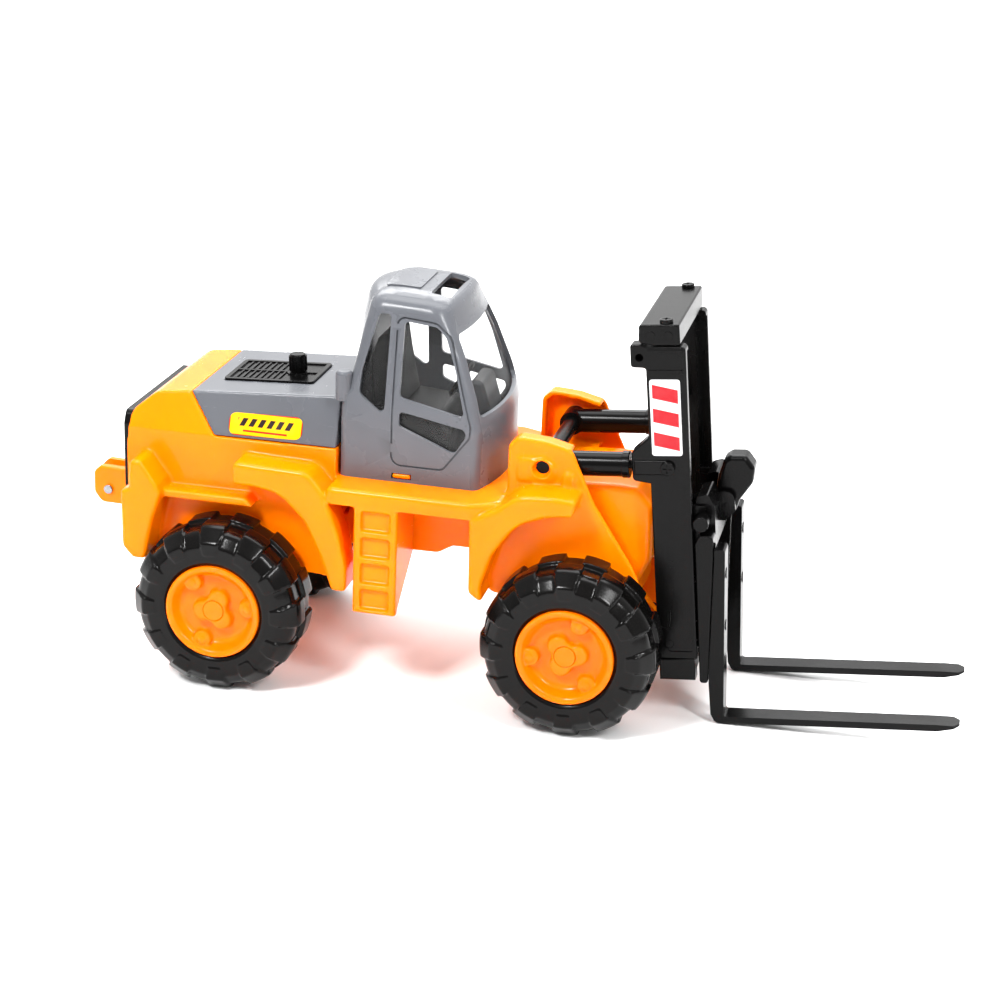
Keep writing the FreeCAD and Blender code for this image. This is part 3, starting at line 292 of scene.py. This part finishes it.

# the last colour given to each orange plastic is its painted shade colour for inside corners
MATERIALS = {
    "body_orange": moulded("orange_plastic", (1.0, 0.205, 0.0, 1), (0.97, 0.182, 0.0, 1), 0.20,
                           scatter=0.35, shine=0.14, wear=0.12, corner_shade=0.3, shade_colour=(0.80, 0.085, 0.0, 1)),
    "hub_orange": moulded("hub_orange_plastic", (0.98, 0.165, 0.0, 1), (0.95, 0.142, 0.0, 1), 0.18,
                          scatter=0.3, shine=0.16, wear=0.12, corner_shade=0.6, shade_colour=(0.75, 0.07, 0.0, 1)),
    "cab_grey": moulded("grey_plastic", (0.088, 0.092, 0.103, 1), (0.078, 0.082, 0.092, 1), 0.24, shine=0.25,
                         wear=0.2, marks=0.04, corner_shade=0.7),
    "black_plastic": moulded("black_plastic", (0.0022, 0.0021, 0.0021, 1), (0.0014, 0.0014, 0.0014, 1), 0.20,
                             shine=0.11, wear=0.02, marks=0.05),
    "interior_black": moulded("interior_plastic", (0.006, 0.006, 0.006, 1), (0.004, 0.004, 0.004, 1), 0.45,
                              shine=0.10, wear=0.03, grain=0.1),
    "console_grey": moulded("console_plastic", (0.020, 0.021, 0.023, 1), (0.014, 0.015, 0.017, 1), 0.4,
                            shine=0.2, wear=0.05),
    "tyre_black": moulded("tyre_plastic", (0.0024, 0.0021, 0.0020, 1), (0.0016, 0.0015, 0.0014, 1), 0.17,
                          shine=0.15, wear=0.02, marks=0.06, grain=0.5),
    "clear": clear_plastic(),
    "steel": plated_steel(),
    "sticker_yellow": hood_film(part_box("hood_label_right")),
    "sticker_white": hazard_film(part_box("hazard_label_right")),
}


# ---------------------------------------------------------------- shapes
SHARP = 28          # degrees between faces from which an edge counts as one


def outer_mesh(source):
    """The node's CAD mesh with doubled points joined and the shells of sealed hollows left out."""
    bm = bmesh.new()
    bm.from_mesh(frame["nodes"][source].data)
    bmesh.ops.remove_doubles(bm, verts=bm.verts, dist=1e-6)
    bm.faces.ensure_lookup_table()
    seen = set()
    sealed = []
    for start in bm.faces:
        if start.index in seen:
            continue
        seen.add(start.index)
        shell, queue = [], [start]
        while queue:
            face = queue.pop()
            shell.append(face)
            for edge in face.edges:
                for other in edge.link_faces:
                    if other.index not in seen:
                        seen.add(other.index)
                        queue.append(other)
        volume = 0.0
        for face in shell:
            first = face.verts[0].co
            for a, b in zip(face.verts[1:], face.verts[2:]):
                volume += first.dot(a.co.cross(b.co)) / 6
        if volume < 0:
            sealed += shell
    if sealed:
        bmesh.ops.delete(bm, geom=sealed, context="FACES")
    return bm


def applied(obj, kind, **settings):
    modifier = obj.modifiers.new(kind.lower(), kind)
    for key, value in settings.items():
        setattr(modifier, key, value)
    bpy.context.view_layer.objects.active = obj
    bpy.ops.object.modifier_apply(modifier=modifier.name)


def linked(name, bm):
    mesh = bpy.data.meshes.new(name)
    bm.to_mesh(mesh)
    bm.free()
    obj = bpy.data.objects.new(name, mesh)
    bpy.context.scene.collection.objects.link(obj)
    return obj


def smooth(obj):
    for p in obj.data.polygons:
        p.use_smooth = True
    applied(obj, "WEIGHTED_NORMAL", mode="FACE_AREA", weight=50)


def dressed(name, source, edge):
    """A copy of a CAD node with its edges rounded by a real bevel, standing for that node."""
    bm = outer_mesh(source)
    bmesh.ops.dissolve_limit(bm, angle_limit=math.radians(0.6), verts=bm.verts, edges=bm.edges)
    obj = linked(name, bm)
    applied(obj, "BEVEL", width=edge, segments=3, limit_method="ANGLE",
            angle_limit=math.radians(SHARP), use_clamp_overlap=True)
    smooth(obj)
    return obj


def creased(name, source):
    """A copy of a CAD node with smooth shading that breaks at its sharp edges."""
    bm = outer_mesh(source)
    for edge in bm.edges:
        edge.smooth = edge.calc_face_angle(0) < math.radians(SHARP)
    obj = linked(name, bm)
    for p in obj.data.polygons:
        p.use_smooth = True
    return obj


def melted(name, source, voxel, rounds):
    """A copy of a CAD node with every edge run soft, as blow-moulded and thick moulded plastic has."""
    obj = linked(name, outer_mesh(source))
    applied(obj, "REMESH", mode="VOXEL", voxel_size=voxel, adaptivity=0.0)
    applied(obj, "SMOOTH", factor=0.5, iterations=rounds)
    for p in obj.data.polygons:
        p.use_smooth = True
    return obj


def show(obj, node, material=None):
    slot = SLOT_OF[node]
    obj.data.materials.clear()
    obj.data.materials.append(material or MATERIALS[slot])
    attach(obj, BODY_OF[node])
    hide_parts(node)


for node in NODES:
    cad = frame["nodes"][node]
    cad.data.materials.clear()
    cad.data.materials.append(MATERIALS[SLOT_OF[node]])


# ---------------------------------------------------------------- floor, light and camera
def stage_floor():
    mesh = bpy.data.meshes.new("floor")
    bm = bmesh.new()
    bmesh.ops.create_grid(bm, x_segments=1, y_segments=1, size=12)
    bm.to_mesh(mesh)
    bm.free()
    floor = bpy.data.objects.new("floor", mesh)
    bpy.context.scene.collection.objects.link(floor)
    m = Nodes("floor_paper")
    tone = m.mix(m.noise(3, 3), (0.80, 0.80, 0.80, 1), (0.84, 0.84, 0.84, 1))
    m.link(tone, m.bsdf.inputs["Base Color"])
    m.bsdf.inputs["Roughness"].default_value = 0.7
    floor.data.materials.append(m.mat)


def area_light(name, place, aim, size, power, colour=(1, 1, 1)):
    data = bpy.data.lights.new(name, "AREA")
    data.shape = "RECTANGLE"
    data.size, data.size_y = size
    data.energy = power
    data.color = colour
    obj = bpy.data.objects.new(name, data)
    obj.location = place
    obj.rotation_euler = (Vector(aim) - Vector(place)).to_track_quat("-Z", "Y").to_euler()
    bpy.context.scene.collection.objects.link(obj)


def photo_camera():
    azimuth, elevation, roll = math.radians(12.28), math.radians(20.42), math.radians(2.38)
    forward = Vector((-math.sin(azimuth) * math.cos(elevation), math.cos(azimuth) * math.cos(elevation),
                      -math.sin(elevation)))
    right = Vector((math.cos(azimuth), math.sin(azimuth), 0))
    up = right.cross(forward)
    x = right * math.cos(roll) + up * math.sin(roll)
    y = -right * math.sin(roll) + up * math.cos(roll)
    data = bpy.data.cameras.new("camera")
    data.sensor_width = 36.0
    data.lens = 80.2
    camera = bpy.data.objects.new("camera", data)
    turn = Matrix((x, y, -forward)).transposed().to_4x4()
    camera.matrix_world = Matrix.Translation((0.28276, -1.36801, 0.64013)) @ turn
    bpy.context.scene.collection.objects.link(camera)
    bpy.context.scene.camera = camera


stage_floor()
photo_camera()
world = bpy.data.worlds.new("studio")
bpy.context.scene.world = world
world.use_nodes = True
sky = world.node_tree.nodes["Background"]
sky.inputs["Strength"].default_value = 1.0
way = world.node_tree.nodes.new("ShaderNodeTexCoord")
split = world.node_tree.nodes.new("ShaderNodeSeparateXYZ")
world.node_tree.links.new(way.outputs["Generated"], split.inputs[0])
behind = world.node_tree.nodes.new("ShaderNodeMapRange")
behind.inputs["From Min"].default_value = -0.6
behind.inputs["From Max"].default_value = 0.5
behind.inputs["To Min"].default_value = 0.55
behind.inputs["To Max"].default_value = 1.45
world.node_tree.links.new(split.outputs[1], behind.inputs["Value"])
world.node_tree.links.new(behind.outputs[0], sky.inputs["Color"])
area_light("key", (-0.6, -1.2, 1.5), (0, 0, 0.1), (0.35, 0.35), 42)
area_light("side", (0.9, -0.8, 1.1), (0, 0, 0.1), (0.2, 0.5), 16)
area_light("top", (0.0, 0.3, 1.8), (0, 0, 0.1), (1.8, 0.9), 34)
area_light("backdrop", (-0.9, 3.4, 2.6), (-0.9, 3.4, 0), (4.0, 2.4), 260)

# rounding of edges in metres; melted pieces give voxel size in metres and rounds of smoothing
ROUNDING = 0.0006
EDGES = {"hood_label_right": 0.0001, "hood_label_left": 0.0001}
MELTED = {"body_shell": (0.0010, 6), "engine_hood": (0.0008, 6)}
for wheel in ("front_right", "front_left", "rear_right", "rear_left"):
    MELTED[f"tyre_{wheel}"] = (0.0008, 5)
    MELTED[f"hub_{wheel}"] = (0.0006, 14)
for node in NODES:
    if node in MELTED:
        show(melted(f"skin_{node}", node, *MELTED[node]), node)
    elif node == "cab_shell":
        show(creased("skin_cab_shell", node), node)
    elif node != "cab_glazing":
        show(dressed(f"skin_{node}", node, EDGES.get(node, ROUNDING)), node)

bpy.context.scene.view_settings.view_transform = "Standard"
